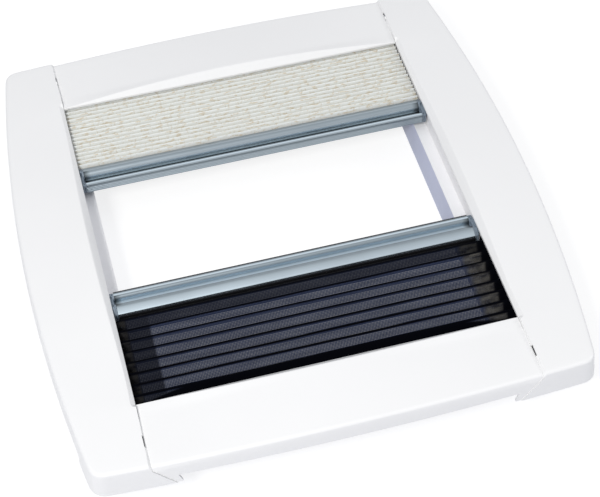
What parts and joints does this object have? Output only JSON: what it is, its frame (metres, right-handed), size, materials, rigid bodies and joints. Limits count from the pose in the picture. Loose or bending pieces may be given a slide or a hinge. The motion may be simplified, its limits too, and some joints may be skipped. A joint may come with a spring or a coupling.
{
  "type": "skylight window blind",
  "caption": "Roof-light blind frame with a pleated blackout blind and a pleated insect net, each on a pull bar that slides in side tracks towards the other.",
  "frame": {"origin": "middle of the roof collar's rim, which is the lowest plane of the part as it lies room side up", "axes": "+X across the opening along the pull bars, +Y from the insect net's end to the blackout blind's end, +Z into the room"},
  "size_m": [0.4932, 0.5222, 0.0695],
  "materials": {
    "cover_plastic": "satin white moulding",
    "frame_plastic": "plain white moulding",
    "catch_plastic": "dark grey moulding",
    "track_plastic": "off-white extruded profile",
    "screw_steel": "zinc-plated",
    "rail_aluminium": "mill finish",
    "blackout_fabric": "cream pleated cloth with slubs",
    "net_fabric": "black pleated net",
    "bar_aluminium": "satin anodised extrusion",
    "cap_plastic": "grey moulding",
    "spring_steel": "spring strip",
    "clamp_plastic": "dark strip",
    "gasket_rubber": "soft black"
  },
  "bodies": {
    "frame": {"base_frame": "frame_plastic", "side_cover_left": "cover_plastic", "side_cover_right": "cover_plastic", "cross_cover_near": "cover_plastic", "cross_cover_far": "cover_plastic", "cover_catch_near_left": "catch_plastic", "cover_catch_near_right": "catch_plastic", "cover_catch_far_left": "catch_plastic", "cover_catch_far_right": "catch_plastic", "guide_track_left": "track_plastic", "guide_track_right": "track_plastic", "track_screw_left_1": "screw_steel", "track_screw_left_2": "screw_steel", "track_screw_left_3": "screw_steel", "track_screw_left_4": "screw_steel", "track_screw_right_1": "screw_steel", "track_screw_right_2": "screw_steel", "track_screw_right_3": "screw_steel", "track_screw_right_4": "screw_steel", "blind_anchor_rail": "rail_aluminium", "net_anchor_rail": "rail_aluminium", "blind_rail_screw_1": "screw_steel", "blind_rail_screw_2": "screw_steel", "blind_rail_screw_3": "screw_steel", "net_rail_screw_1": "screw_steel", "net_rail_screw_2": "screw_steel", "net_rail_screw_3": "screw_steel", "blind_pleats": "blackout_fabric", "net_pleats": "net_fabric"},
    "blind_bar": {"blind_pull_bar": "bar_aluminium", "blind_cap_left": "cap_plastic", "blind_cap_right": "cap_plastic", "blind_brake_spring_left": "spring_steel", "blind_brake_spring_right": "spring_steel", "blind_clamp_strip": "clamp_plastic"},
    "net_bar": {"net_pull_bar": "bar_aluminium", "net_cap_left": "cap_plastic", "net_cap_right": "cap_plastic", "net_brake_spring_left": "spring_steel", "net_brake_spring_right": "spring_steel", "net_clamp_strip": "clamp_plastic", "meeting_gasket": "gasket_rubber"}
  },
  "joints": [
    {"name": "blind_slide", "type": "slide", "parent": "frame", "child": "blind_bar", "axis": [0, -1, 0], "range_m": [-0.079, 0.068], "deforming": ["blind_pleats"]},
    {"name": "net_slide", "type": "slide", "parent": "frame", "child": "net_bar", "axis": [0, 1, 0], "range_m": [-0.1, 0.068], "deforming": ["net_pleats"]}
  ]
}
